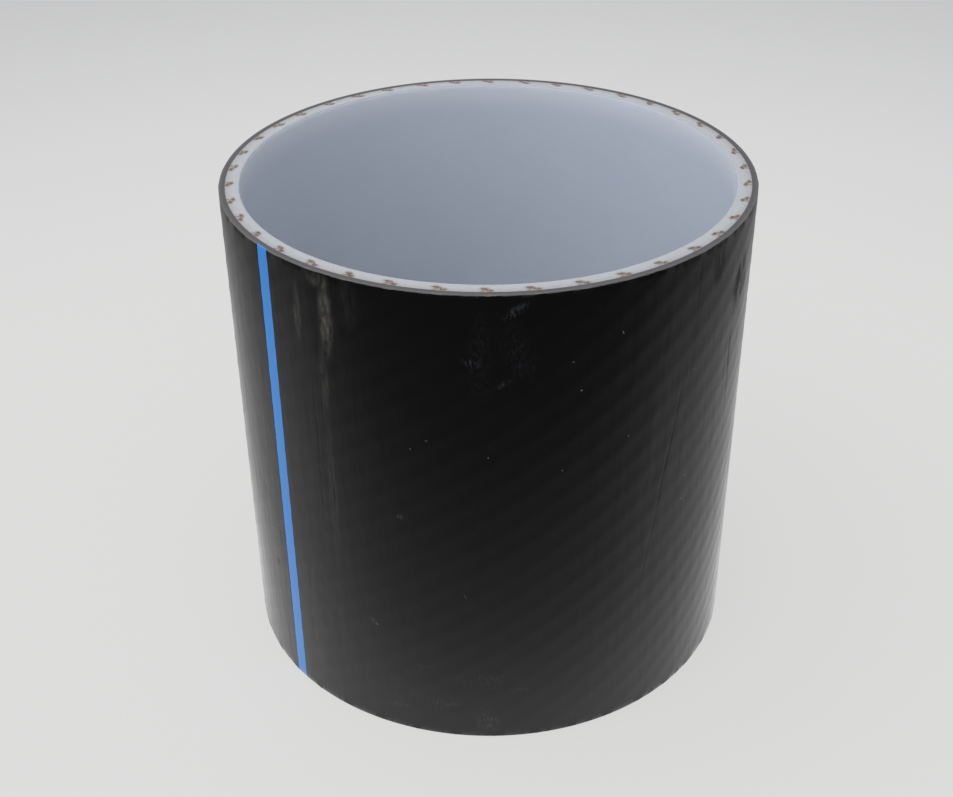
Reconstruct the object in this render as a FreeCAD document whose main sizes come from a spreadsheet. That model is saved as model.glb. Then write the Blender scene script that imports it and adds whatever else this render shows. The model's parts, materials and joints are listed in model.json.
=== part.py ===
import FreeCAD, Part
import Sketcher
import math
import os

# A short length of steel-wire-reinforced polyethylene pressure pipe, dn 200, sawn square at
# both ends and standing on one of them. The frame's origin is the centre of the lower cut
# end and +Z is the pipe's axis. All lengths are in millimetres and all angles in degrees.

# --------------------------------------------------------------------------------------
# Driving dimensions
# --------------------------------------------------------------------------------------

SIZES = (
    ("outside_diameter", 200.0),    # nominal diameter of the pipe
    ("pipe_length", 193.0),         # from one sawn end to the other
    ("pipe_wall", 7.6),             # bore to outside, all layers together
    ("jacket_wall", 2.4),           # black jacket alone
    ("jacket_edge_bevel", 0.3),     # scraped corner round the outside of each sawn end
    ("bore_edge_bevel", 0.3),       # broken corner round the bore at each sawn end
    ("wire_diameter", 1.0),         # one steel wire
    ("wires_per_winding", 40.0),
    ("winding_lead", 35.3),         # climb of a wire above the level, seen from the side
    ("winding_cover", 0.5),         # white plastic between the outer winding and the jacket
    ("winding_gap", 0.3),           # white plastic between the two windings where they cross
    ("outer_winding_turn", -0.3),   # place of the outer winding's first wire on the top end
    ("inner_winding_turn", -1.6),   # place of the inner winding's first wire on the top end
    ("winding_drift", 1.4),         # how far the wires drift from even spacing
    ("winding_drift_side", -90.0),  # side of the pipe where they stand furthest apart
    ("wire_wander", 0.35),          # how far a single wire strays from its place
    ("stripe_width", 5.6),          # measured square across the stripe
    ("stripe_depth", 0.5),          # how deep the blue is moulded into the black
    ("stripe_side", -140.5),        # direction of the stripe from the pipe's axis
)

doc = FreeCAD.newDocument("reinforced_pipe")
sheet = doc.addObject("Spreadsheet::Sheet", "sizes")
for row, (alias, value) in enumerate(SIZES, start=1):
    sheet.set(f"A{row}", alias)
    sheet.set(f"B{row}", str(value))
    sheet.setAlias(f"B{row}", alias)
doc.recompute()

# Radii that follow from the driving dimensions, as formulas on the sheet's aliases.
OUTSIDE_RADIUS = "sizes.outside_diameter / 2"
JACKET_INNER_RADIUS = f"({OUTSIDE_RADIUS} - sizes.jacket_wall)"
BORE_RADIUS = f"({OUTSIDE_RADIUS} - sizes.pipe_wall)"

# Radii of the two windings' centrelines.
liner_radius = sheet.outside_diameter / 2 - sheet.jacket_wall
outer_winding_radius = liner_radius - sheet.winding_cover - sheet.wire_diameter / 2
inner_winding_radius = outer_winding_radius - sheet.wire_diameter - sheet.winding_gap

RIGHT_HANDED = 1
LEFT_HANDED = -1
RUN_TURN = 7.0  # most that a wire turns in one straight run, in degrees


# --------------------------------------------------------------------------------------
# Plain tubes: the liner and the jacket before anything is let into them
# --------------------------------------------------------------------------------------

def turned_tube(name, inner_radius, outer_radius):
    """Body of a tube as long as the pipe, revolved from a rectangle beside the axis."""
    body = doc.addObject("PartDesign::Body", f"{name}_body")
    planes = {feature.Role: feature for feature in body.Origin.OriginFeatures}
    sketch = body.newObject("Sketcher::SketchObject", f"{name}_section")
    sketch.AttachmentSupport = (planes["XZ_Plane"], [""])
    sketch.MapMode = "FlatFace"

    inner, outer, top = 10.0, 20.0, 30.0
    corners = [(inner, 0.0), (outer, 0.0), (outer, top), (inner, top)]
    points = [FreeCAD.Vector(across, along, 0) for across, along in corners]
    for start, end in zip(points, points[1:] + points[:1]):
        sketch.addGeometry(Part.LineSegment(start, end), False)
    bottom_line, outer_line, top_line, inner_line = range(4)
    add = sketch.addConstraint
    for line in range(4):
        add(Sketcher.Constraint("Coincident", line, 2, (line + 1) % 4, 1))
    for line in (bottom_line, top_line):
        add(Sketcher.Constraint("Horizontal", line))
    for line in (outer_line, inner_line):
        add(Sketcher.Constraint("Vertical", line))
    add(Sketcher.Constraint("PointOnObject", bottom_line, 1, -1))
    named = (
        ("inner_radius", "DistanceX", (-1, 1, bottom_line, 1), inner, inner_radius),
        ("outer_radius", "DistanceX", (-1, 1, bottom_line, 2), outer, outer_radius),
        ("length", "DistanceY", (outer_line, 1, outer_line, 2), top, "sizes.pipe_length"),
    )
    for label, kind, places, start_value, formula in named:
        index = add(Sketcher.Constraint(kind, *places, start_value))
        sketch.renameConstraint(index, label)
        sketch.setExpression(f"Constraints.{label}", formula)

    revolution = body.newObject("PartDesign::Revolution", f"{name}_turned")
    revolution.Profile = sketch
    revolution.ReferenceAxis = (sketch, ["V_Axis"])
    revolution.Angle = 360.0
    doc.recompute()
    return body, revolution


def rim_edges(shape, radius):
    """Names of the circles of this radius at the two ends of a turned tube."""
    names = []
    for number, edge in enumerate(shape.Edges, start=1):
        if isinstance(edge.Curve, Part.Circle) and abs(edge.Curve.Radius - radius) < 1e-6:
            names.append(f"Edge{number}")
    return names


def bevel_rims(body, tube, name, radius, bevel):
    """Bevel both end rims of a tube that lie at the given radius."""
    chamfer = body.newObject("PartDesign::Chamfer", f"{name}_bevel")
    chamfer.Base = (tube, rim_edges(tube.Shape, radius))
    chamfer.setExpression("Size", bevel)
    doc.recompute()
    return chamfer


# --------------------------------------------------------------------------------------
# Windings: helical steel wires, sawn off flush with the pipe's ends
# --------------------------------------------------------------------------------------

def winding_path(radius, pitch, hand):
    """Points of one wire's centreline, a helix in short straight runs, past both sawn ends."""
    overrun = 2 * sheet.wire_diameter
    climb = sheet.pipe_length + 2 * overrun
    runs = math.ceil(360 * climb / pitch / RUN_TURN)
    points = []
    for step in range(runs + 1):
        height = climb * step / runs - overrun
        turn = hand * 2 * math.pi * (height - sheet.pipe_length) / pitch
        points.append(FreeCAD.Vector(radius * math.cos(turn), radius * math.sin(turn), height))
    return points


def trimmed_wire(name, radius, hand):
    """One helical wire, flush with both sawn ends, which meets the upper one on the +X side."""
    pitch = 2 * math.pi * radius * math.tan(math.radians(sheet.winding_lead))
    points = winding_path(radius, pitch, hand)
    path = doc.addObject("Part::Polygon", f"{name}_path")
    path.Nodes = points
    first_run = points[1] - points[0]
    section = doc.addObject("Part::Circle", f"{name}_section")
    section.setExpression("Radius", "sizes.wire_diameter / 2 * 1 mm")
    square_to_path = FreeCAD.Rotation(FreeCAD.Vector(0, 0, 1), first_run)
    section.Placement = FreeCAD.Placement(points[0], square_to_path)

    sweep = doc.addObject("Part::Sweep", f"{name}_swept")
    sweep.Sections = [section]
    sweep.Spine = path
    sweep.Solid = True
    sweep.Transition = "Right corner"
    between_cuts = doc.addObject("Part::Cylinder", f"{name}_between_cuts")
    between_cuts.setExpression("Radius", f"{OUTSIDE_RADIUS} * 1 mm")
    between_cuts.setExpression("Height", "sizes.pipe_length * 1 mm")
    wire = doc.addObject("Part::Common", f"{name}_wire")
    wire.Base = sweep
    wire.Tool = between_cuts
    doc.recompute()
    return wire.Shape


def winding(name, radius, hand, first_wire):
    """All wires of one winding, set round the pipe from a single trimmed wire.

    The spacing is uneven by a drift that goes once round the pipe and by a small wander of
    each wire, as bobbins lay them.
    """
    wire = trimmed_wire(name, radius, hand)
    count = int(sheet.wires_per_winding)
    wires = []
    for number in range(count):
        even = number * 360 / count
        drift = sheet.winding_drift * math.sin(math.radians(even - sheet.winding_drift_side))
        wander = sheet.wire_wander * math.sin(number * (3 - hand))
        copy = wire.copy()
        copy.rotate(FreeCAD.Vector(), FreeCAD.Vector(0, 0, 1), first_wire + even + drift + wander)
        wires.append(copy)
    feature = doc.addObject("Part::Feature", name)
    feature.Label = name
    feature.Shape = Part.makeCompound(wires)
    feature.Placement = FreeCAD.Placement()
    return feature


# --------------------------------------------------------------------------------------
# Sub-parts
# --------------------------------------------------------------------------------------

def boolean(kind, label, base, tool):
    """Part boolean of two objects, labelled as a sub-part or as a step towards one."""
    result = doc.addObject(f"Part::{kind}", label)
    result.Label = label
    result.Base = base
    result.Tool = tool
    doc.recompute()
    return result


# White polyethylene liner and bonding plastic, one mass round the wires.
outer_winding = winding("outer_winding_wires", outer_winding_radius, RIGHT_HANDED,
                        sheet.outer_winding_turn)
inner_winding = winding("inner_winding_wires", inner_winding_radius, LEFT_HANDED,
                        sheet.inner_winding_turn)
windings = doc.addObject("Part::Compound", "both_windings")
windings.Links = [outer_winding, inner_winding]
liner_body, liner_tube = turned_tube("liner", BORE_RADIUS, JACKET_INNER_RADIUS)
bevel_rims(liner_body, liner_tube, "liner",
           sheet.outside_diameter / 2 - sheet.pipe_wall, "sizes.bore_edge_bevel")
white_liner = boolean("Cut", "white_liner", liner_body, windings)

# Black jacket with a straight flat-bottomed groove, and the blue stripe that fills it.
jacket_body, jacket_tube = turned_tube("jacket", JACKET_INNER_RADIUS, OUTSIDE_RADIUS)
bevel_rims(jacket_body, jacket_tube, "jacket",
           sheet.outside_diameter / 2, "sizes.jacket_edge_bevel")

stripe_groove = doc.addObject("Part::Box", "stripe_groove")
stripe_groove.setExpression("Length", "2 * sizes.stripe_depth * 1 mm")
stripe_groove.setExpression("Width", "sizes.stripe_width * 1 mm")
stripe_groove.setExpression("Height", "sizes.pipe_length * 1 mm")
floor_distance = sheet.outside_diameter / 2 - sheet.stripe_depth
turned_to_side = FreeCAD.Rotation(FreeCAD.Vector(0, 0, 1), sheet.stripe_side)
floor_corner = turned_to_side.multVec(FreeCAD.Vector(floor_distance, -sheet.stripe_width / 2, 0))
stripe_groove.Placement = FreeCAD.Placement(floor_corner, turned_to_side)
blue_stripe = boolean("Common", "blue_stripe", jacket_body, stripe_groove)
black_jacket = boolean("Cut", "black_jacket", jacket_body, stripe_groove)

# --------------------------------------------------------------------------------------
# Checks and output
# --------------------------------------------------------------------------------------

doc.recompute()
for thing in doc.Objects:
    for state in ("Invalid", "Error"):
        if state in thing.State:
            raise RuntimeError(f"{thing.Label} is {state}")

os.makedirs("parts", exist_ok=True)
for sub_part in (white_liner, outer_winding, inner_winding, black_jacket, blue_stripe):
    shape = sub_part.Shape
    if shape.isNull() or not shape.isValid():
        raise RuntimeError(f"{sub_part.Label} has no valid shape")
for sub_part in (white_liner, outer_winding, inner_winding, black_jacket, blue_stripe):
    shape = sub_part.Shape
    shape.exportStep(f"parts/{sub_part.Label}.step")
    print(sub_part.Label, len(shape.Solids), "solids,", round(shape.Volume), "mm3")
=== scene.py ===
"""Steel-wire-reinforced polyethylene pipe, a short sawn length standing on its end.

The white liner, the two windings of coppered steel wire, the black jacket and its blue
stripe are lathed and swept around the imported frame, dressed in their plastics and metal,
and stood on a plain pale floor under soft studio light. Lengths are in metres.
"""

import json
import logging
import math
from collections.abc import Callable
from dataclasses import dataclass, field
from enum import Enum

import bpy
import numpy as np
from bpy.types import Material, Node, NodeSocket, NodeTree, Object
from mathutils import Matrix, Vector, noise


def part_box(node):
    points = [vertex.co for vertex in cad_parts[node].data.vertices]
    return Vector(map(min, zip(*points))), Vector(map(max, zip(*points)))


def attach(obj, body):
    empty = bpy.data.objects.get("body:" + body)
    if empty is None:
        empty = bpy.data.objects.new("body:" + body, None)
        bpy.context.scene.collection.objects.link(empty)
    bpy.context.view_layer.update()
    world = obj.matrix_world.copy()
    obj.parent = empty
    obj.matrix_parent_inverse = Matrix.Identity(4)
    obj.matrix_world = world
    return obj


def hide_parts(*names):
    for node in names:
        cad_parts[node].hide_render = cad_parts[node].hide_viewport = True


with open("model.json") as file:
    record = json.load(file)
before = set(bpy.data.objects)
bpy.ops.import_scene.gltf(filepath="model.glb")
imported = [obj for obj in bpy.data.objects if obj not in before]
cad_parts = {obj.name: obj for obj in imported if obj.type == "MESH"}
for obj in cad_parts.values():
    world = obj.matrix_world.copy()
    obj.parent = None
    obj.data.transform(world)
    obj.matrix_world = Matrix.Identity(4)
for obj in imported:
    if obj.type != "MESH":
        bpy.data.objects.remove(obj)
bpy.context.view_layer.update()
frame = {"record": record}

BODY = "root"
MM = 0.001
FULL_TURN = 2 * math.pi
SAME_POINT = 1e-7  # points nearer than this are one
SLACK = 1e-6  # allowance for rounding, where points meet or lie on a wall
POLYETHYLENE_IOR = 1.51

log = logging.getLogger("pipe")


# ---- Small tools ----


def linear(hex_colour: str) -> tuple[float, float, float, float]:
    """Turn an sRGB hex colour into a linear colour.

    Args:
        hex_colour: The colour as "#RRGGBB".

    Returns:
        Linear red, green, blue and an alpha of 1.
    """
    channels = [int(hex_colour[i:i + 2], 16) / 255 for i in (1, 3, 5)]
    curve = [c / 12.92 if c <= 0.04045 else ((c + 0.055) / 1.055) ** 2.4 for c in channels]
    return (*curve, 1.0)


def add_node(tree: NodeTree, kind: str, properties: dict | None = None, **inputs: object) -> Node:
    """Add a node, set its properties and fill or link its inputs.

    Args:
        tree: The material's or the world's node tree.
        kind: The node's type, without "ShaderNode" in front.
        properties: The node's own settings.
        **inputs: Socket names with underscores, or "i" and the socket's number, each with
            a value to set, an output socket to link or a node to link by its first output.

    Returns:
        The new node.
    """
    node = tree.nodes.new("ShaderNode" + kind)
    for name, value in (properties or {}).items():
        setattr(node, name, value)
    for name, value in inputs.items():
        numbered = name[0] == "i" and name[1:].isdigit()
        socket = node.inputs[int(name[1:]) if numbered else name.replace("_", " ")]
        if isinstance(value, Node):
            value = value.outputs[0]
        if isinstance(value, NodeSocket):
            tree.links.new(value, socket)
        else:
            socket.default_value = value
    return node


def new_material(name: str) -> tuple[Material, NodeTree, NodeSocket]:
    """Begin a node material.

    Args:
        name: The material's name.

    Returns:
        The material, its node tree and its Object coordinates.
    """
    material = bpy.data.materials.new(name)
    material.use_nodes = True
    tree = material.node_tree
    tree.nodes.clear()
    return material, tree, add_node(tree, "TexCoord").outputs["Object"]


def mottle(tree: NodeTree, place: Node | NodeSocket, size_mm: float, detail: float = 2.0,
           roughness: float = 0.5, along: float = 1.0) -> NodeSocket:
    """Make noise whose grains have a real size.

    Args:
        tree: The material's node tree.
        place: Object coordinates.
        size_mm: Width of a grain.
        detail: How many finer layers the noise has.
        roughness: How strong they are.
        along: Scale along the pipe, under 1 where the grains are drawn out.

    Returns:
        The noise, from 0 to 1.
    """
    drawn = add_node(tree, "Mapping", Vector=place, Scale=(1, 1, along))
    return add_node(tree, "TexNoise", Vector=drawn, Scale=1 / (size_mm * MM), Detail=detail,
                    Roughness=roughness).outputs[0]


def milky(depth_mm: float) -> dict[str, object]:
    """List the shader inputs that let light a little way into white plastic."""
    return {"Subsurface_Weight": 0.5, "Subsurface_Radius": (1.0, 0.95, 0.9),
            "Subsurface_Scale": depth_mm * MM}


def deselect_everything() -> None:
    """Leave edit mode and drop the selection, so that operators touch only what is new."""
    if bpy.context.object and bpy.context.object.mode != "OBJECT":
        bpy.ops.object.mode_set(mode="OBJECT")
    bpy.ops.object.select_all(action="DESELECT")


def select_only(piece: Object) -> None:
    """Make one object the selected and active one.

    Args:
        piece: The object.
    """
    deselect_everything()
    piece.select_set(True)
    bpy.context.view_layer.objects.active = piece


def edit_all() -> None:
    """Enter edit mode on the active object, with all of it selected."""
    bpy.ops.object.mode_set(mode="EDIT")
    bpy.ops.mesh.select_all(action="SELECT")


def turn_selected(angle: float) -> None:
    """Turn what is selected in edit mode about the pipe's axis, anticlockwise from above."""
    bpy.ops.transform.rotate(value=-angle, orient_axis="Z", center_override=(0, 0, 0))


def apply_modifier(piece: Object, kind: str, **settings: object) -> None:
    """Put a modifier on a piece and apply it.

    Args:
        piece: The piece.
        kind: The modifier's type.
        **settings: The modifier's own settings.
    """
    select_only(piece)
    modifier = piece.modifiers.new(kind.title(), kind)
    for name, value in settings.items():
        setattr(modifier, name, value)
    bpy.ops.object.modifier_apply(modifier=modifier.name)


def combine(piece: Object, operation: str, tool: Object) -> None:
    """Cut a tool's shape out of a piece, or keep only what they share."""
    apply_modifier(piece, "BOOLEAN", operation=operation, object=tool, solver="MANIFOLD")


def copy_of(piece: Object) -> Object:
    """Add a copy of a piece to the scene.

    Args:
        piece: The piece.

    Returns:
        The copy, with a mesh of its own.
    """
    copy = piece.copy()
    copy.data = piece.data.copy()
    bpy.context.scene.collection.objects.link(copy)
    return copy


def select_corners(section: Object, corners: list[tuple[float, float]]) -> None:
    """Enter edit mode with only some corners of a flat section selected.

    Args:
        section: The section, before it is turned.
        corners: Radius and height of each corner.
    """
    select_only(section)
    bpy.ops.object.mode_set(mode="EDIT")
    bpy.ops.mesh.select_mode(type="VERT")
    bpy.ops.mesh.select_all(action="DESELECT")
    bpy.ops.object.mode_set(mode="OBJECT")
    for vertex in section.data.vertices:
        place = (vertex.co.x, vertex.co.z)
        vertex.select = any(math.dist(place, corner) < SAME_POINT for corner in corners)
    bpy.ops.object.mode_set(mode="EDIT")


def lathe(name: str, corners: list[tuple[float, float]], steps: int, rows: int = 1) -> Object:
    """Turn a closed section about the pipe's axis into a solid ring.

    Args:
        name: The piece's name.
        corners: Radius and height of the section's corners.
        steps: How many columns go round.
        rows: How many rows the edge from the first corner to the second is divided into.

    Returns:
        The turned piece, with its faces outwards.
    """
    deselect_everything()
    bpy.ops.mesh.primitive_plane_add(size=MM, location=(0, 0, 0))
    piece = bpy.context.object
    piece.name = name
    bpy.ops.object.mode_set(mode="EDIT")
    bpy.ops.mesh.merge(type="CENTER")
    bpy.ops.transform.translate(value=(corners[0][0], 0, corners[0][1]))
    for here, there in zip(corners, corners[1:]):
        step = (there[0] - here[0], 0, there[1] - here[1])
        bpy.ops.mesh.extrude_region_move(TRANSFORM_OT_translate={"value": step})
    select_corners(piece, [corners[0], corners[-1]])
    bpy.ops.mesh.edge_face_add()
    if rows > 1:
        select_corners(piece, corners[:2])
        bpy.ops.mesh.subdivide(number_cuts=rows - 1)
    apply_modifier(piece, "SCREW", angle=FULL_TURN, steps=steps, render_steps=steps,
                   use_merge_vertices=True, merge_threshold=SLACK, axis="Z")
    face_outwards(piece)
    return piece


def between(start: tuple[float, float], end: tuple[float, float],
            parts: int) -> list[tuple[float, float]]:
    """Divide a straight edge of a section.

    Args:
        start: Radius and height of one end.
        end: Radius and height of the other.
        parts: How many equal parts it is divided into.

    Returns:
        The points between the parts.
    """
    shares = [part / parts for part in range(1, parts)]
    return [(start[0] + (end[0] - start[0]) * s, start[1] + (end[1] - start[1]) * s)
            for s in shares]


def face_outwards(piece: Object) -> None:
    """Merge a piece's doubled points and point its faces outwards.

    Args:
        piece: The piece.
    """
    select_only(piece)
    edit_all()
    bpy.ops.mesh.remove_doubles(threshold=SAME_POINT)
    bpy.ops.mesh.normals_make_consistent(inside=False)
    bpy.ops.object.mode_set(mode="OBJECT")


def points_of(piece: Object) -> np.ndarray:
    """Read where a piece's vertices are.

    Args:
        piece: The piece.

    Returns:
        Rows of x, y and z.
    """
    flat = np.empty(len(piece.data.vertices) * 3)
    piece.data.vertices.foreach_get("co", flat)
    return flat.reshape(-1, 3)


def move_points(piece: Object, points: np.ndarray) -> None:
    """Put a piece's vertices at new places."""
    piece.data.vertices.foreach_set("co", points.ravel())
    piece.data.update()


def dress(piece: Object, finishes: list[Material],
          choose: Callable[[Vector, Vector], int] = lambda centre, normal: 0) -> None:
    """Give a piece its materials.

    Args:
        piece: The piece.
        finishes: Its materials, in slot order.
        choose: Which slot a face takes, from its centre and its normal.
    """
    piece.data.materials.clear()
    for finish in finishes:
        piece.data.materials.append(finish)
    for face in piece.data.polygons:
        face.material_index = choose(face.center, face.normal)


def smooth(piece: Object, angle: float) -> None:
    """Shade a piece smooth, except across edges sharper than an angle in degrees."""
    select_only(piece)
    bpy.ops.object.shade_smooth_by_angle(angle=math.radians(angle))


def keep(piece: Object, node: str) -> None:
    """Fasten a finished piece to the frame in place of its CAD node.

    Args:
        piece: The piece.
        node: The CAD node that it stands for.
    """
    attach(piece, BODY)
    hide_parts(node)
    log.info("%s: %d faces", piece.name, len(piece.data.polygons))


# ---- Sizes ----


class Hand(Enum):
    """Which way a winding climbs, seen from outside."""

    RIGHT = 1
    LEFT = -1


@dataclass(frozen=True)
class PipeSizes:
    """Radii and heights of the pipe's layers, most of them read from the frame."""

    outside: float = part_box("black_jacket")[1].y
    length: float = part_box("black_jacket")[1].z
    liner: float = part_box("white_liner")[1].y
    outer_wires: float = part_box("outer_winding_wires")[1].y
    inner_wires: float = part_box("inner_winding_wires")[1].y
    wire: float = 1.0 * MM
    bevel: float = 0.3 * MM
    bore_round: float = 0.3 * MM
    stripe_width: float = 5.6 * MM
    stripe_depth: float = 0.5 * MM
    stripe_side: float = math.radians(-140.5)

    @property
    def bore(self) -> float:
        """Radius of the bore, from the record's bore mount."""
        mounts = {m["name"]: m for m in frame["record"]["mounts"]}
        return mounts["bore"]["dims"]["r_mm"] * MM


@dataclass(frozen=True)
class Spacing:
    """How the wires of a winding stand round the pipe on its upper end, in degrees."""

    count: int = 40
    drift: float = 1.4
    drift_side: float = -90.0
    wander: float = 0.35

    def turn(self, number: int, first: float, hand: Hand) -> float:
        """Find where a wire meets the upper end.

        Args:
            number: The wire's place in its winding.
            first: Place of the winding's first wire.
            hand: The winding's hand.

        Returns:
            The wire's angle from +X.
        """
        even = number * 360 / self.count
        drift = self.drift * math.sin(math.radians(even - self.drift_side))
        wander = self.wander * math.sin(number * (3 - hand.value))
        return first + even + drift + wander


# ---- Finishes ----


class MarkKind(Enum):
    """What a mark on the jacket is."""

    DUST = "pale dust, rubbed in along the pipe"
    SCUFF = "grey scuff with fine strokes in it"
    SPECK = "small chip or grain of plastic dust"
    GOUGE = "dull dented line or patch"


@dataclass(frozen=True)
class Mark:
    """One mark on the jacket's wall: an ellipse with soft edges.

    The side is in degrees from +X, the tilt in degrees towards -X, and the rest in mm.
    """

    side: float
    height: float
    wide: float
    tall: float
    tilt: float = 0.0
    strength: float = 1.0


MARKS = {
    MarkKind.DUST: (
        Mark(-123.4, 176, 8.0, 38, 0, 0.55),
        Mark(-130.7, 174, 5.0, 30, 0, 0.25),
        Mark(-125.0, 151, 6.0, 34, 0, 0.2),
        Mark(-124.8, 190, 12.0, 8, 0, 0.3),
        Mark(-124.6, 106, 6.0, 90, 0, 0.12),
        Mark(-118.0, 184, 12.0, 26, 0, 0.06),
    ),
    MarkKind.SCUFF: (
        Mark(-85.5, 187, 13.0, 5, 35, 0.5),
        Mark(-88.0, 160, 9.0, 3, 25, 0.45),
        Mark(-94.0, 168, 10.0, 4, -25, 0.35),
        Mark(-92.3, 170, 10.0, 50, 0, 0.1),
        Mark(-85.0, 172, 14.0, 34, 20, 0.1),
        Mark(-92.0, 29, 40.0, 10, 0, 0.2),
        Mark(-91.0, 8, 12.0, 16, 0, 0.5),
        Mark(-100.0, 16, 20.0, 4, 0, 0.25),
        Mark(-108.0, 18, 46.0, 20, 0, 0.12),
        Mark(-111.0, 11, 16.0, 3, 8, 0.4),
        Mark(-84.0, 24, 14.0, 2, -6, 0.35),
        Mark(-106.0, 33, 12.0, 2, 5, 0.3),
        Mark(-109.0, 102, 4.0, 5, 0, 0.5),
        Mark(-116.5, 50, 8.0, 3, -40, 0.5),
    ),
    MarkKind.SPECK: (
        Mark(-72.7, 154.8, 0.83, 1.02),
        Mark(-64.4, 173.7, 0.77, 1.91, 20, 0.8),
        Mark(-106.2, 132.3, 0.64, 0.77),
        Mark(-102.8, 136.2, 1.53, 0.51, 10, 0.6),
        Mark(-76.1, 123.3, 0.64, 0.77),
        Mark(-61.6, 131.9, 0.64, 0.89),
        Mark(-44.9, 102.3, 1.27, 0.83, -40),
        Mark(-45.1, 92.2, 0.89, 0.77),
        Mark(-44.9, 147.5, 1.15, 0.51, -20, 0.8),
        Mark(-90.6, 130.8, 0.58, 1.15, 0, 0.9),
        Mark(-74.4, 166.0, 1.27, 0.58, 0, 0.7),
        Mark(-95.6, 69.7, 0.51, 3.82, 25, 0.35),
        Mark(-115.6, 48.9, 1.4, 0.77, -30, 0.7),
    ),
    MarkKind.GOUGE: (
        Mark(-51.8, 107, 2.2, 140, -10.2, 0.7),
        Mark(-45.1, 177, 2.2, 34, 0, 0.8),
        Mark(-127.7, 119, 1.6, 100, 0, 0.5),
        Mark(-124.3, 101, 1.6, 70, 1.5, 0.7),
        Mark(-125.6, 150, 1.6, 60, 0, 0.5),
        Mark(-29.5, 138, 3.0, 50, 3, 0.6),
        Mark(-27.0, 168, 22.0, 34, 0, 1.0),
        Mark(-38.5, 184, 12.0, 22, 0, 1.3),
        Mark(-147.0, 51.5, 5.0, 6, 0, 0.5),
        Mark(-151.0, 82, 6.0, 16, 0, 0.4),
        Mark(-145.0, 68.6, 40.0, 1.6, 4, 0.4),
    ),
}


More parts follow.
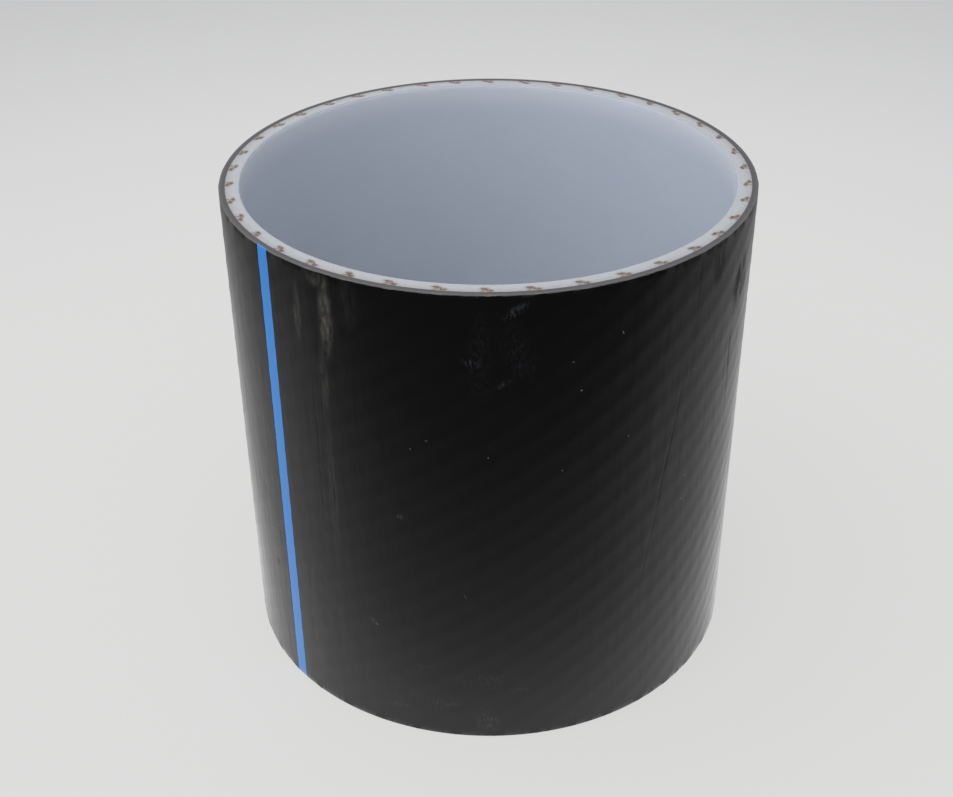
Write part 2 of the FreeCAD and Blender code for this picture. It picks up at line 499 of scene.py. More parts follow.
@dataclass(frozen=True)
class JacketPlastic:
    """Black polyethylene with carbon black, extruded through a die: deep black and wet-looking
    at a slant, with faint die lines, dust and rubbed marks from handling."""

    colour: str = "#121213"
    dust: str = "#77746A"
    scuff: str = "#5A5C60"
    speck: str = "#6E706E"
    roughness: float = 0.15
    mark_core: float = 0.2  # share of its reach over which a mark has full strength
    cloud_mm: float = 26.0
    peel_mm: float = 1.4
    die_line_mm: float = 1.0
    wave_mm: float = 5.0
    wander_mm: float = 14.0  # size of the bends in a line
    wobble_mm: float = 2.2  # how far they take it aside

    def wall_map(self, tree: NodeTree, place: NodeSocket, radius: float) -> NodeSocket:
        """Unroll the wall into arc length and height, a little warped so lines wander.

        Args:
            tree: The material's node tree.
            place: Object coordinates.
            radius: The wall's radius.

        Returns:
            The unrolled place, in metres.
        """
        axes = add_node(tree, "SeparateXYZ", Vector=place).outputs
        angle = add_node(tree, "Math", {"operation": "ARCTAN2"}, i0=axes[1], i1=axes[0])
        arc = add_node(tree, "Math", {"operation": "MULTIPLY"}, i0=angle, i1=radius)
        flat = add_node(tree, "CombineXYZ", X=arc, Y=axes[2])
        warp = add_node(tree, "TexNoise", Vector=place, Scale=1 / (self.wander_mm * MM), Detail=2.0)
        centred = add_node(tree, "VectorMath", {"operation": "SUBTRACT"},
                           i0=warp.outputs["Color"], i1=(0.5, 0.5, 0.5))
        sized = add_node(tree, "VectorMath", {"operation": "MULTIPLY"}, i0=centred,
                         i1=(self.wobble_mm * MM,) * 3)
        return add_node(tree, "VectorMath", {"operation": "ADD"}, i0=flat, i1=sized).outputs[0]

    def marks(self, tree: NodeTree, unrolled: NodeSocket, kind: MarkKind, radius: float) -> Node:
        """Add up the soft ellipses of all marks of one kind.

        Args:
            tree: The material's node tree.
            unrolled: The unrolled place on the wall.
            kind: The kind of mark.
            radius: The wall's radius.

        Returns:
            A node that says how strongly each place is marked, before any grain.
        """
        total = 0.0
        for mark in MARKS[kind]:
            centre = (math.radians(mark.side) * radius, mark.height * MM, 0)
            own = add_node(tree, "Mapping", {"vector_type": "TEXTURE"}, Vector=unrolled,
                           Location=centre, Rotation=(0, 0, math.radians(mark.tilt)),
                           Scale=(mark.wide * MM / 2, mark.tall * MM / 2, 1))
            away = add_node(tree, "VectorMath", {"operation": "LENGTH"}, i0=own).outputs[1]
            soft = add_node(tree, "MapRange", {"interpolation_type": "SMOOTHSTEP"}, Value=away,
                            From_Min=1.0, From_Max=self.mark_core, To_Max=mark.strength)
            total = add_node(tree, "Math", {"operation": "ADD"}, i0=total, i1=soft)
        return total

    def grain(self, tree: NodeTree, place: NodeSocket, size_mm: float, along: float,
              low: float, high: float) -> Node:
        """Make the break-up of a kind of mark.

        Args:
            tree: The material's node tree.
            place: Object coordinates.
            size_mm: Width of its grains.
            along: Scale along the pipe, under 1 where they are drawn out.
            low: Noise value that leaves no mark.
            high: Noise value that leaves the full mark.

        Returns:
            A node that gives the grain, from 0 to 1.
        """
        value = mottle(tree, place, size_mm, 4.0, 0.65, along)
        return add_node(tree, "MapRange", Value=value, From_Min=low, From_Max=high)

    def material(self, radius: float) -> Material:
        """Build the jacket's material.

        Args:
            radius: The wall's radius.

        Returns:
            The material.
        """
        made, tree, place = new_material("extruded_black_polyethylene")
        unrolled = self.wall_map(tree, place, radius)
        grains = {
            MarkKind.DUST: self.grain(tree, place, 1.6, along=0.3, low=0.33, high=0.7),
            MarkKind.SCUFF: self.grain(tree, place, 0.8, along=0.4, low=0.46, high=0.74),
            MarkKind.GOUGE: self.grain(tree, place, 3.5, along=0.25, low=0.34, high=0.56),
        }
        masks = {kind: self.marks(tree, unrolled, kind, radius) for kind in MarkKind}
        for kind, grain in grains.items():
            masks[kind] = add_node(tree, "Math", {"operation": "MULTIPLY", "use_clamp": True},
                                   i0=masks[kind], i1=grain)
        tone = linear(self.colour)
        for kind, colour in ((MarkKind.SCUFF, self.scuff), (MarkKind.DUST, self.dust),
                             (MarkKind.SPECK, self.speck)):
            tone = add_node(tree, "Mix", {"data_type": "RGBA"}, i0=masks[kind], i6=tone,
                            i7=linear(colour)).outputs[2]

        cloud = mottle(tree, place, self.cloud_mm, 4.0, 0.6)
        rough = add_node(tree, "MapRange", Value=cloud, From_Min=0.3, From_Max=0.7,
                         To_Min=self.roughness - 0.03, To_Max=self.roughness + 0.05)
        for kind, share in ((MarkKind.DUST, 0.35), (MarkKind.SCUFF, 0.3), (MarkKind.GOUGE, 0.4)):
            rough = add_node(tree, "Math", {"operation": "MULTIPLY_ADD"}, i0=masks[kind],
                             i1=share, i2=rough)

        wavy = add_node(tree, "Bump", Strength=0.8, Distance=0.22 * MM,
                        Height=mottle(tree, place, self.wave_mm, 3.0, along=0.18))
        drawn = add_node(tree, "Bump", Strength=0.2, Distance=0.02 * MM, Normal=wavy,
                         Height=mottle(tree, place, self.die_line_mm, along=0.02))
        skin = add_node(tree, "Bump", Strength=0.15, Distance=0.02 * MM, Normal=drawn,
                        Height=mottle(tree, place, self.peel_mm))
        dented = add_node(tree, "Bump", {"invert": True}, Strength=0.6, Distance=0.12 * MM,
                          Normal=skin, Height=masks[MarkKind.GOUGE])
        shader = add_node(tree, "BsdfPrincipled", Base_Color=tone, IOR=POLYETHYLENE_IOR,
                          Roughness=rough, Normal=dented)
        add_node(tree, "OutputMaterial", Surface=shader)
        return made


@dataclass(frozen=True)
class StripePlastic:
    """Blue polyethylene co-extruded into the jacket: clean, bright and as smooth as it."""

    colour: str = "#338ADC"
    clouded: str = "#3C8CDB"
    roughness: float = 0.18
    cloud_mm: float = 9.0

    def material(self) -> Material:
        """Build the stripe's material."""
        made, tree, place = new_material("extruded_blue_polyethylene")
        cloud = mottle(tree, place, self.cloud_mm, 3.0)
        tone = add_node(tree, "Mix", {"data_type": "RGBA"}, i0=cloud, i6=linear(self.colour),
                        i7=linear(self.clouded))
        shader = add_node(tree, "BsdfPrincipled", Base_Color=tone.outputs[2],
                          IOR=POLYETHYLENE_IOR, Roughness=self.roughness)
        add_node(tree, "OutputMaterial", Surface=shader)
        return made


@dataclass(frozen=True)
class LinerPlastic:
    """Natural white polyethylene: milky, a little blue and softly glossy, as the die left it.

    The first few millimetres below the upper sawn end are painted paler: a painted glow for light
    that seeps in through it.
    """

    colour: str = "#C2C8D2"
    clouded: str = "#BCC2CE"
    # painted glow: the paler colour painted just below the upper sawn end
    lit_through: str = "#CFD4DC"
    roughness: float = 0.38
    cloud_mm: float = 35.0
    die_line_mm: float = 1.5
    glow_mm: float = 5.0
    seep_reach: float = 15 * MM

    def material(self, length: float) -> Material:
        """Build the bore's material.

        Args:
            length: The pipe's length.

        Returns:
            The material.
        """
        made, tree, place = new_material("natural_white_polyethylene")
        cloud = mottle(tree, place, self.cloud_mm, 3.0)
        tone = add_node(tree, "Mix", {"data_type": "RGBA"}, i0=cloud, i6=linear(self.colour),
                        i7=linear(self.clouded))
        drawn = add_node(tree, "Bump", Strength=0.2, Distance=0.02 * MM,
                         Height=mottle(tree, place, self.die_line_mm, along=0.03))
        # painted glow: the bore's colour is painted paler towards the upper sawn end
        height = add_node(tree, "SeparateXYZ", Vector=place).outputs[2]
        seep = add_node(tree, "MapRange", {"interpolation_type": "SMOOTHERSTEP"}, Value=height,
                        From_Min=length - self.seep_reach, From_Max=length)
        bright = add_node(tree, "Mix", {"data_type": "RGBA"}, i0=seep, i6=tone.outputs[2],
                          i7=linear(self.lit_through))
        shader = add_node(tree, "BsdfPrincipled", Base_Color=bright.outputs[2],
                          IOR=POLYETHYLENE_IOR, Roughness=self.roughness, Normal=drawn,
                          **milky(self.glow_mm))
        add_node(tree, "OutputMaterial", Surface=shader)
        return made


@dataclass(frozen=True)
class SawnPlastic:
    """Polyethylene cut by a saw: dull, drawn over in fine straight lines, with dust in them.

    Its colour may run from the inner radius to the outer one, and the liner's is browned
    round the wires by the mesh's "stain".
    """

    name: str
    inner: str
    middle: str
    outer: str
    radii: tuple[float, float]
    stain: str = "#6E5C4C"
    stained: bool = False
    roughness: float = 0.6
    saw_side: float = math.radians(24)
    line_mm: float = 0.7
    grit_mm: float = 1.1
    uneven: float = 0.6  # share of the layer by which grit shifts its colours
    glow_mm: float = 0.0

    def material(self) -> Material:
        """Build the sawn material."""
        made, tree, place = new_material(self.name)
        along = add_node(tree, "Mapping", Vector=place, Rotation=(0, 0, self.saw_side),
                         Scale=(1, 0.03, 1))
        lines = mottle(tree, along, self.line_mm, 3.0)
        grit = mottle(tree, place, self.grit_mm, 4.0, 0.7)

        flat = add_node(tree, "VectorMath", {"operation": "MULTIPLY"}, i0=place, i1=(1, 1, 0))
        radius = add_node(tree, "VectorMath", {"operation": "LENGTH"}, i0=flat).outputs[1]
        across = add_node(tree, "MapRange", {"clamp": False}, Value=radius,
                          From_Min=self.radii[0], From_Max=self.radii[1])
        strayed = add_node(tree, "MapRange", {"clamp": False}, Value=grit,
                           To_Min=-self.uneven, To_Max=self.uneven)
        depth = add_node(tree, "Math", {"operation": "ADD"}, i0=across, i1=strayed)
        tone = add_node(tree, "ValToRGB", Fac=depth)
        stops = tone.color_ramp.elements
        stops[0].position = 0.05
        stops[0].color = linear(self.inner)
        stops[1].position = 0.95
        stops[1].color = linear(self.outer)
        stops.new(0.4).color = linear(self.middle)
        if self.stained:
            mark = add_node(tree, "Attribute", {"attribute_name": "stain"}).outputs["Fac"]
            worn = add_node(tree, "MapRange", Value=grit, From_Min=0.25, From_Max=0.6,
                            To_Min=0.45, To_Max=1.0)
            share = add_node(tree, "Math", {"operation": "MULTIPLY"}, i0=mark, i1=worn)
            tone = add_node(tree, "Mix", {"data_type": "RGBA"}, i0=share, i6=tone,
                            i7=linear(self.stain)).outputs[2]
        sawn = add_node(tree, "Bump", Strength=0.35, Distance=0.05 * MM, Height=lines)
        shader = add_node(tree, "BsdfPrincipled", Base_Color=tone, IOR=POLYETHYLENE_IOR,
                          Roughness=self.roughness, Normal=sawn,
                          **(milky(self.glow_mm) if self.glow_mm else {}))
        add_node(tree, "OutputMaterial", Surface=shader)
        return made


@dataclass(frozen=True)
class WireMetal:
    """High-carbon steel wire with a thin coat of copper, browned where it was cut."""

    name: str
    colour: str
    stain: str
    metallic: float
    roughness: float
    grit_mm: float = 0.9

    def material(self) -> Material:
        """Build the wire's material."""
        made, tree, place = new_material(self.name)
        grit = mottle(tree, place, self.grit_mm, 3.0)
        spread = add_node(tree, "MapRange", Value=grit, From_Min=0.4, From_Max=0.62)
        tone = add_node(tree, "Mix", {"data_type": "RGBA"}, i0=spread, i6=linear(self.colour),
                        i7=linear(self.stain))
        shader = add_node(tree, "BsdfPrincipled", Base_Color=tone.outputs[2],
                          Metallic=self.metallic, Roughness=self.roughness)
        add_node(tree, "OutputMaterial", Surface=shader)
        return made


@dataclass(frozen=True)
class FloorPaint:
    """Plain pale laminate. Camera and transmission rays see mostly an even glow, painted darker
    farther from the pipe: painted shade.
    To mirror-like rays it is a glowing sheet painted to fall off all round the pipe, and sooner in
    front: a painted reflection, which is what gives black plastic its depth."""

    colour: str = "#D2D2D1"
    shown: str = "#DCDCDB"
    # painted shade: the glow seen by straight rays is painted down to this grey far from the pipe
    far: str = "#BDBDBF"
    shown_share: float = 0.85
    roughness: float = 0.5
    painted_shade_reach: tuple[float, float] = (0.3, 1.3)
    # painted reflection: strength of the sheet that mirror rays see, by distance from the axis and
    # by depth in front
    reflection_glow_by_distance: tuple[tuple[float, float], ...] = (
        (0.11, 1.0), (0.17, 0.72), (0.27, 0.56), (0.50, 0.18))
    reflection_glow_by_depth: tuple[tuple[float, float], ...] = (
        (-0.42, 0.0), (-0.30, 0.09), (-0.22, 0.26), (-0.15, 0.50), (-0.10, 0.74),
        (-0.02, 0.84), (0.20, 1.0))

    def profile(self, tree: NodeTree, distance: NodeSocket,
                stops: tuple[tuple[float, float], ...]) -> Node:
        """Look a distance up in a list of stops.

        Args:
            tree: The material's node tree.
            distance: The distance, in metres.
            stops: Distances with their brightness, in rising order.

        Returns:
            A node that gives the brightness.
        """
        first, last = stops[0][0], stops[-1][0]
        share = add_node(tree, "MapRange", Value=distance, From_Min=first, From_Max=last)
        ramp = add_node(tree, "ValToRGB", Fac=share)
        ends = ramp.color_ramp.elements
        ends[0].color = (*[stops[0][1]] * 3, 1.0)
        ends[1].color = (*[stops[-1][1]] * 3, 1.0)
        for place, level in stops[1:-1]:
            ends.new((place - first) / (last - first)).color = (level, level, level, 1.0)
        return ramp

    def material(self) -> Material:
        """Build the floor's material."""
        made, tree, place = new_material("pale_laminate_floor")
        away = add_node(tree, "VectorMath", {"operation": "LENGTH"}, i0=place).outputs[1]
        depth = add_node(tree, "SeparateXYZ", Vector=place).outputs[1]
        rays = add_node(tree, "LightPath").outputs

        paint = add_node(tree, "BsdfPrincipled", Base_Color=linear(self.colour),
                         Roughness=self.roughness)
        # painted shade: the glow seen by camera and transmission rays turns darker farther from the
        # pipe
        reach = add_node(tree, "MapRange", {"interpolation_type": "SMOOTHSTEP"}, Value=away,
                         From_Min=self.painted_shade_reach[0], From_Max=self.painted_shade_reach[1])
        pale = add_node(tree, "Mix", {"data_type": "RGBA"}, i0=reach, i6=linear(self.shown),
                        i7=linear(self.far))
        even = add_node(tree, "Emission", Color=pale.outputs[2])
        straight = add_node(tree, "Math", {"operation": "MAXIMUM"},
                            i0=rays["Is Camera Ray"], i1=rays["Is Transmission Ray"])
        share = add_node(tree, "Math", {"operation": "MULTIPLY"}, i0=straight, i1=self.shown_share)
        floor = add_node(tree, "MixShader", i0=share, i1=paint, i2=even)

        # painted reflection: mirror rays see a glowing sheet that falls off with distance, and
        # sooner in front
        strength = add_node(tree, "Math", {"operation": "MULTIPLY"},
                            i0=self.profile(tree, away, self.reflection_glow_by_distance),
                            i1=self.profile(tree, depth, self.reflection_glow_by_depth))
        painted_reflection = add_node(tree, "Emission", Color=(1.0, 1.0, 1.0, 1.0), Strength=strength)
        shown = add_node(tree, "MixShader", i0=rays["Is Glossy Ray"], i1=floor, i2=painted_reflection)
        add_node(tree, "OutputMaterial", Surface=shown)
        return made


# ---- The pipe ----


@dataclass
class Winding:
    """Forty helical steel wires at one radius, all of one hand."""

    sizes: PipeSizes
    spacing: Spacing
    name: str
    radius: float
    hand: Hand
    first: float
    lead: float = math.radians(35.3)
    sides: int = 20
    steps: int = 30
    sunk: float = 0.06 * MM
    channel_room: float = 0.05 * MM
    channel_overrun: float = 1.0 * MM
    end_level: float = 0.99  # part of a normal along the pipe past which a face is an end
    crease: float = 40.0  # degrees

    @property
    def pitch(self) -> float:
        """Climb of a wire in a full turn."""
        return FULL_TURN * self.radius * math.tan(self.lead)

    def turn_over(self, rise: float | np.ndarray) -> float | np.ndarray:
        """Find the angle that a wire turns through as it climbs, in radians."""
        return self.hand.value * FULL_TURN * rise / self.pitch

    def one_wire(self, name: str, grow: float, low: float, high: float) -> Object:
        """Sweep one wire up its helix, so that it would meet the upper end on the +X side.

        Args:
            name: The piece's name.
            grow: How much fatter than the wire it is, all round.
            low: Height of its lower end.
            high: Height of its upper end.

        Returns:
            The swept wire with closed ends.
        """
        across = self.sizes.wire / 2 + grow
        along = across / math.sin(self.lead)
        deselect_everything()
        bpy.ops.mesh.primitive_circle_add(vertices=self.sides, radius=1.0, fill_type="NGON",
                                          location=(0, 0, 0))
        wire = bpy.context.object
        wire.name = name
        edit_all()
        bpy.ops.transform.resize(value=(across, along, 1))
        bpy.ops.transform.translate(value=(self.radius, 0, low))
        turn_selected(self.turn_over(low - self.sizes.length))
        step = {"value": (0, 0, (high - low) / self.steps)}
        for _ in range(self.steps):
            bpy.ops.mesh.extrude_region_move(TRANSFORM_OT_translate=step)
            turn_selected(self.turn_over(high - low) / self.steps)
        bpy.ops.object.mode_set(mode="OBJECT")
        face_outwards(wire)
        return wire

    def all_wires(self, name: str, grow: float, low: float, high: float) -> Object:
        """Set copies of one wire round the pipe and join them.

        Args:
            name: The joined piece's name.
            grow: How much fatter than a wire each is, all round.
            low: Height of their lower ends.
            high: Height of their upper ends.

        Returns:
            The joined piece.
        """
        first = self.one_wire(name, grow, low, high)
        shape = points_of(first)
        copies = []
        for number in range(self.spacing.count):
            angle = math.radians(self.spacing.turn(number, self.first, self.hand))
            copy = copy_of(first)
            move_points(copy, shape @ np.array(Matrix.Rotation(angle, 3, "Z")).T)
            copies.append(copy)
        bpy.data.objects.remove(first)
        select_only(copies[0])
        for copy in copies:
            copy.select_set(True)
        bpy.ops.object.join()
        copies[0].name = name
        return copies[0]

    def build(self, metal: Material, end: Material) -> Object:
        """Build the winding, its ends a little under the sawn faces.

        Args:
            metal: Finish of the wires.
            end: Finish of their sawn ends.

        Returns:
            The dressed winding.
        """
        wires = self.all_wires(self.name, 0.0, self.sunk, self.sizes.length - self.sunk)
        dress(wires, [metal, end], lambda centre, normal: int(abs(normal.z) > self.end_level))
        smooth(wires, self.crease)
        return wires

    def ends_at(self, height: float) -> np.ndarray:
        """Find where the wires cross a height.

        Args:
            height: The height.

        Returns:
            The wires' angles from +X, in radians.
        """
        at_top = [math.radians(self.spacing.turn(number, self.first, self.hand))
                  for number in range(self.spacing.count)]
        return np.array(at_top) + self.turn_over(height - self.sizes.length)

    def cutter(self) -> Object:
        """Build the shape that clears this winding's channels through the liner."""
        return self.all_wires(f"{self.name}_channels", self.channel_room,
                              -self.channel_overrun, self.sizes.length + self.channel_overrun)


@dataclass
class Liner:
    """White tube that carries the windings in channels inside its wall."""

    sizes: PipeSizes
    windings: list[Winding]
    columns: int = 900
    face_rows: int = 12
    halo: float = 0.4 * MM
    bridge: float = 0.55 * MM
    leg: tuple[float, float] = (2.1 * MM, 1.7 * MM)
    face_skin: float = 0.2 * MM  # points this near a sawn face lie on it
    face_level: float = 0.15  # part of a normal along the pipe past which a face is sawn
    crease: float = 35.0

    def stain(self, tube: Object) -> None:
        """Note how browned each point of the sawn faces is by the wires' ends near it.

        The brown lies in a halo round each end, and on the upper face in a smear at each
        pair of ends.

        Args:
            tube: The liner.
        """
        points = points_of(tube)
        brown = np.zeros(len(points))
        for height in (0.0, self.sizes.length):
            on_face = np.abs(points[:, 2] - height) < self.face_skin
            flat = points[on_face, :2]
            near = np.zeros(len(flat))
            centres = []
            for winding in self.windings:
                angles = winding.ends_at(height)
                outwards = np.stack([np.cos(angles), np.sin(angles)], axis=1)
                sideways = np.stack([-outwards[:, 1], outwards[:, 0]], axis=1)
                middle = outwards * winding.radius
                centres.append(middle)
                away = flat[:, None, :] - middle[None]
                deep = (away * outwards[None]).sum(axis=2) / (self.sizes.wire / 2)
                wide = ((away * sideways[None]).sum(axis=2)
                        / (self.sizes.wire / 2 / math.sin(winding.lead)))
                past = np.maximum(np.hypot(deep, wide) - 1, 0) * self.sizes.wire / 2
                near = np.maximum(near, np.exp(-(past / self.halo) ** 2).max(axis=1))
            if height > 0:
                near = np.maximum(near, self.smear(flat, centres))
            brown[on_face] = near
        layer = tube.data.attributes.new("stain", "FLOAT", "POINT")
        layer.data.foreach_set("value", brown)

    def smear(self, flat: np.ndarray, centres: list[np.ndarray]) -> np.ndarray:
        """Find how near points of the upper face are to the smears the saw left.

        Each is an arrowhead with its tip at the inner wire and a leg down to each side.

        Args:
            flat: The points' x and y.
            centres: The ends' middles in the outer and the inner winding, pair by pair.

        Returns:
            1 on the legs, falling to 0.
        """
        outer, tip = centres
        outwards = tip / np.linalg.norm(tip, axis=1, keepdims=True)
        sideways = np.stack([-outwards[:, 1], outwards[:, 0]], axis=1)
        middle = (tip + outer) / 2
        tip = tip + sideways * ((middle - tip) * sideways).sum(axis=1, keepdims=True)
        brown = np.zeros(len(flat))
        for side in (-1, 1):
            reach = outwards * self.leg[0] + side * sideways * self.leg[1]
            away = flat[:, None, :] - tip[None]
            share = (away * reach[None]).sum(axis=2) / (reach ** 2).sum(axis=1)
            gap = np.linalg.norm(away - np.clip(share, 0, 1)[:, :, None] * reach[None], axis=2)
            brown = np.maximum(brown, np.exp(-(gap / self.bridge) ** 2).max(axis=1))
        return brown

    def build(self, smooth_bore: Material, sawn: Material) -> Object:
        """Lathe the tube, clear the channels and stain the faces.

        Args:
            smooth_bore: Finish of the bore.
            sawn: Finish of both sawn ends.

        Returns:
            The finished liner.
        """
        s = self.sizes
        r = s.bore_round
        corner = [(r * (1 - math.cos(a)), r * (1 - math.sin(a)))
                  for a in (0, math.pi / 6, math.pi / 3, math.pi / 2)]
        lower = [(s.bore + x, z) for x, z in corner]
        upper = [(s.bore + x, s.length - z) for x, z in corner]
        outer_low, outer_high = (s.liner, 0.0), (s.liner, s.length)
        section = [lower[0], *upper, *between(upper[-1], outer_high, self.face_rows),
                   outer_high, outer_low,
                   *between(outer_low, lower[-1], self.face_rows), *reversed(lower[1:])]
        tube = lathe("white_liner_tube", section, self.columns)
        for winding in self.windings:
            cutter = winding.cutter()
            combine(tube, "DIFFERENCE", cutter)
            bpy.data.objects.remove(cutter)
        self.stain(tube)
        dress(tube, [smooth_bore, sawn],
              lambda centre, normal: int(abs(normal.z) > self.face_level))
        smooth(tube, self.crease)
        return tube


@dataclass
class Jacket:
    """Black outer tube, drawn slightly into relief by the wires under it, and its stripe."""

    sizes: PipeSizes
    outer: Winding
    inner: Winding
    columns: int = 900
    rows: int = 84
    face_rows: int = 4
    outer_ridge: float = 0.10 * MM
    inner_ridge: float = 0.02 * MM
    crest: float = 3.0  # how narrow the ridges are
    waviness: float = 0.05 * MM
    # Lobes round the pipe, radians up it in a metre, and the start of each slow wave.
    swells: tuple[tuple[float, float, float], ...] = ((3, 0, 0.7), (5, 31, 0), (2, -47, 1.1))
    ragged: float = 0.22 * MM
    tears_round: float = 60.0
    tears_up: float = 50.0
    stripe_proud: float = 1.0 * MM
    stripe_steps: int = 6
    face_level: float = 0.95
    edge_level: float = 0.3
    crease: float = 30.0

    def ridge(self, angle: np.ndarray, height: np.ndarray, winding: Winding) -> np.ndarray:
        """Find how near each point of the wall is to the crest over a wire.

        Args:
            angle: The points' angles from +X, in radians.
            height: Their heights.
            winding: The winding below them.

        Returns:
            1 over a wire, falling to 0 between wires.
        """
        spacing = winding.spacing
        at_top = angle - winding.turn_over(height - self.sizes.length)
        turn = at_top - math.radians(winding.first)
        drift = math.radians(spacing.drift) * np.sin(turn - math.radians(spacing.drift_side))
        return np.exp(self.crest * (np.cos((turn - drift) * spacing.count) - 1))

    def relief(self, tube: Object) -> None:
        """Draw the wall down between the wires, and leave its scraped edges uneven.

        Args:
            tube: The jacket, still evenly round.
        """
        s = self.sizes
        points = points_of(tube)
        radius = np.hypot(points[:, 0], points[:, 1])
        angle = np.arctan2(points[:, 1], points[:, 0])
        height = points[:, 2]
        swell = sum(np.sin(lobes * angle + climb * height + start)
                    for lobes, climb, start in self.swells) / 6 + 0.5
        sink = (self.outer_ridge * (1 - self.ridge(angle, height, self.outer))
                + self.inner_ridge * (1 - self.ridge(angle, height, self.inner))
                + self.waviness * swell)
        on_wall = radius > s.outside - SLACK
        points[:, :2] -= np.where(on_wall, sink, 0)[:, None] * points[:, :2] / radius[:, None]
        near_end = np.minimum(height, s.length - height) < s.bevel + SLACK
        edge = on_wall & near_end
        torn = [noise.noise(Vector((math.cos(a) * self.tears_round,
                                    math.sin(a) * self.tears_round, z * self.tears_up)))
                for a, z in zip(angle[edge], height[edge])]
        points[edge, 2] += self.ragged * np.array(torn) * np.sign(s.length / 2 - height[edge])
        move_points(tube, points)

    def sector(self, deep: float, proud: float) -> Object:
        """Build the straight wedge of a ring that the stripe fills.

        Args:
            deep: How far it reaches under the wall.
            proud: How far it reaches past the wall and the ends.

        Returns:
            The wedge, closed.
        """
        s = self.sizes
        span = s.stripe_width / s.outside
        deselect_everything()
        bpy.ops.mesh.primitive_plane_add(size=1.0, location=(0, 0, 0))
        wedge = bpy.context.object
        wedge.name = "stripe_sector"
        edit_all()
        bpy.ops.transform.rotate(value=math.pi / 2, orient_axis="X", center_override=(0, 0, 0))
        bpy.ops.transform.resize(value=(deep + proud, 1, s.length + 2 * proud))
        bpy.ops.transform.translate(value=(s.outside + (proud - deep) / 2, 0, s.length / 2))
        turn_selected(s.stripe_side - span / 2)
        for _ in range(self.stripe_steps):
            bpy.ops.mesh.extrude_region_move(TRANSFORM_OT_translate={"value": (0, 0, 0)})
            turn_selected(span / self.stripe_steps)
        bpy.ops.object.mode_set(mode="OBJECT")
        face_outwards(wedge)
        return wedge

    def layer(self, centre: Vector, normal: Vector) -> int:
        """Find which finish a face of the jacket takes.

        Args:
            centre: The face's centre.
            normal: Its normal.

        Returns:
            0 on the wall, 1 on the sawn ends and 2 on the scraped edges.
        """
        if abs(normal.z) > self.face_level:
            return 1
        edge = min(centre.z, self.sizes.length - centre.z) < self.sizes.bevel
        return 2 if edge and abs(normal.z) > self.edge_level else 0

    def build(self, wall: Material, sawn: Material, scraped: Material,
              blue: Material) -> tuple[Object, Object]:
        """Lathe the jacket, give it its relief and let the stripe into it.

        Args:
            wall: Finish of the extruded wall.
            sawn: Finish of the sawn ends.
            scraped: Finish of the scraped outer edges, whose light grey is partly a painted
                highlight.
            blue: Finish of the stripe.

        Returns:
            The jacket and the stripe.
        """
        s = self.sizes
        rim_low, rim_high = (s.outside - s.bevel, 0.0), (s.outside - s.bevel, s.length)
        root_low, root_high = (s.liner, 0.0), (s.liner, s.length)
        section = [(s.outside, s.bevel), (s.outside, s.length - s.bevel), rim_high,
                   *between(rim_high, root_high, self.face_rows), root_high, root_low,
                   *between(root_low, rim_low, self.face_rows), rim_low]
        tube = lathe("black_jacket_tube", section, self.columns, self.rows)
        self.relief(tube)
        stripe = copy_of(tube)
        stripe.name = "blue_stripe_inlay"
        wedge = self.sector(s.stripe_depth, self.stripe_proud)
        combine(stripe, "INTERSECT", wedge)
        combine(tube, "DIFFERENCE", wedge)
        bpy.data.objects.remove(wedge)
        dress(tube, [wall, sawn, scraped], self.layer)
        dress(stripe, [blue])
        for piece in (tube, stripe):
            smooth(piece, self.crease)
        return tube, stripe


@dataclass
class Pipe:
    """The whole pipe: its two windings, and the liner and the jacket round them."""

    sizes: PipeSizes = field(default_factory=PipeSizes)
    spacing: Spacing = field(default_factory=Spacing)

    def build(self) -> None:
        """Build every layer, dress it and fasten it to the frame."""
        s = self.sizes
        half = s.wire / 2
        outer = Winding(s, self.spacing, "outer_winding_helices", s.outer_wires - half,
                        Hand.RIGHT, first=-0.3)
        inner = Winding(s, self.spacing, "inner_winding_helices", s.inner_wires - half,
                        Hand.LEFT, first=-1.6)
        metal = WireMetal("coppered_steel_wire", "#A9633A", "#7A4A2E", 1.0, 0.35).material()
        end = WireMetal("sawn_steel_wire_end", "#8A6E54", "#5E4A38", 0.3, 0.6).material()
        keep(outer.build(metal, end), "outer_winding_wires")
        keep(inner.build(metal, end), "inner_winding_wires")

        white = LinerPlastic().material(s.length)
        sawn_white = SawnPlastic("sawn_white_polyethylene", "#A3A7AB", "#A9ABAE", "#9D9D9E",
                                 (s.bore, s.liner), stained=True, glow_mm=4.0).material()
        liner = Liner(s, [outer, inner]).build(white, sawn_white)
        keep(liner, "white_liner")

        black = JacketPlastic().material(s.outside)
        sawn_black = SawnPlastic("sawn_black_polyethylene", "#4C4A51", "#49494C", "#5E5C59",
                                 (s.liner, s.outside)).material()
        # scraped plastic is greyer, and this light grey is partly a painted highlight where the
        # outer edge catches light
        scraped = SawnPlastic("scraped_black_polyethylene", "#6C6A67", "#6C6A67", "#5E5C58",
                              (s.liner, s.outside)).material()
        jacket, stripe = Jacket(s, outer, inner).build(
            black, sawn_black, scraped, StripePlastic().material())
        keep(jacket, "black_jacket")
        keep(stripe, "blue_stripe")


# ---- Floor, light and camera ----


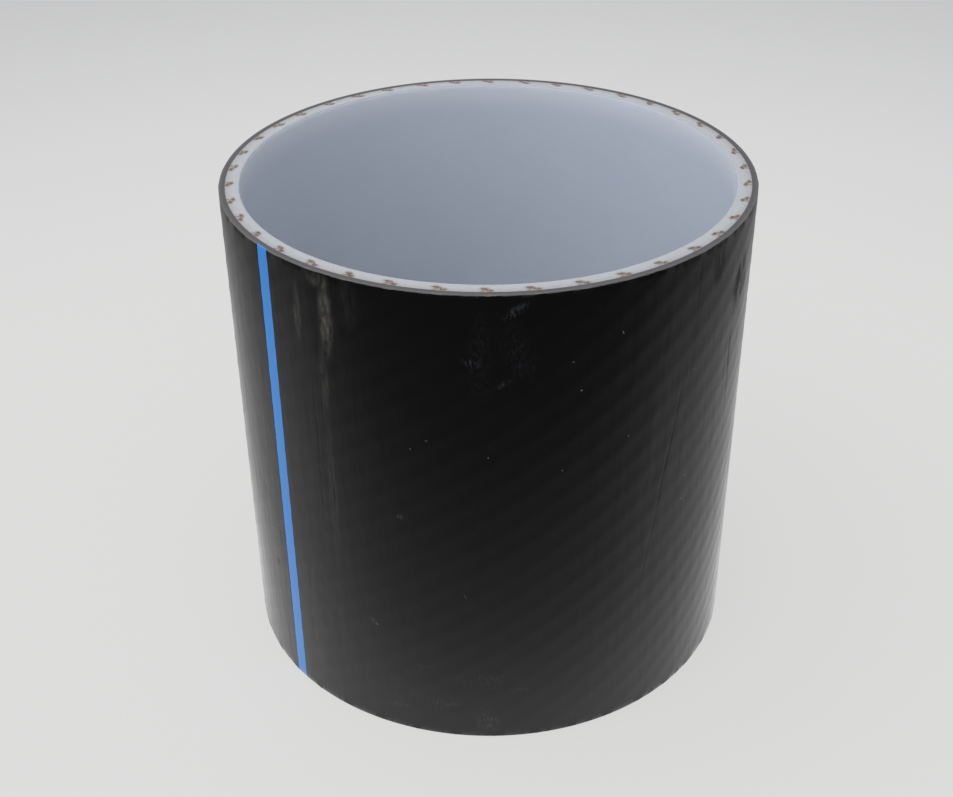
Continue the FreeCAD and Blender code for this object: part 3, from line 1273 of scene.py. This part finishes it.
@dataclass
class Studio:
    """Plain pale floor, a broad soft lamp overhead and an even pale world."""

    floor_size: float = 14.0
    lamp_size: float = 2.4
    lamp_place: tuple[float, float, float] = (-0.6, -0.4, 2.2)
    lamp_power: float = 52.0
    world_colour: str = "#CDCFD4"
    world_strength: float = 0.78

    def build(self) -> None:
        """Lay the floor and set the lights."""
        deselect_everything()
        bpy.ops.mesh.primitive_plane_add(size=self.floor_size, location=(0, 0, 0))
        floor = bpy.context.object
        floor.name = "floor"
        dress(floor, [FloorPaint().material()])

        lamp = bpy.data.lights.new("soft_lamp", "AREA")
        lamp.shape = "SQUARE"
        lamp.size = self.lamp_size
        lamp.energy = self.lamp_power
        place = bpy.data.objects.new("soft_lamp", lamp)
        place.location = self.lamp_place
        place.rotation_euler = (-Vector(self.lamp_place)).to_track_quat("-Z", "Y").to_euler()
        bpy.context.scene.collection.objects.link(place)

        world = bpy.data.worlds.new("pale_room")
        world.use_nodes = True
        world.node_tree.nodes.clear()
        glow = add_node(world.node_tree, "Background",
                        Color=linear(self.world_colour), Strength=self.world_strength)
        add_node(world.node_tree, "OutputWorld", Surface=glow)
        bpy.context.scene.world = world


@dataclass
class Camera:
    """The camera, looking down on the pipe from the front."""

    place: tuple[float, float, float] = (-0.00507, -0.49423, 0.40317)
    elevation: float = math.radians(32.213)
    roll: float = math.radians(-0.518)
    lens_mm: float = 53.48
    sensor_mm: float = 36.0

    def build(self) -> None:
        """Place the camera and make it the scene's."""
        data = bpy.data.cameras.new("camera")
        data.lens = self.lens_mm
        data.sensor_width = self.sensor_mm
        data.clip_start = 0.01
        camera = bpy.data.objects.new("camera", data)
        tilt = Matrix.Rotation(math.pi / 2 - self.elevation, 4, "X")
        camera.matrix_world = (Matrix.Translation(self.place) @ tilt
                               @ Matrix.Rotation(self.roll, 4, "Z"))
        bpy.context.scene.collection.objects.link(camera)
        bpy.context.scene.camera = camera


def main() -> None:
    """Build the pipe, then the studio and the camera."""
    logging.basicConfig(level=logging.INFO, format="%(name)s: %(message)s")
    Pipe().build()
    Studio().build()
    Camera().build()
    bpy.context.scene.view_settings.view_transform = "Standard"
    deselect_everything()


if __name__ == "__main__":
    main()
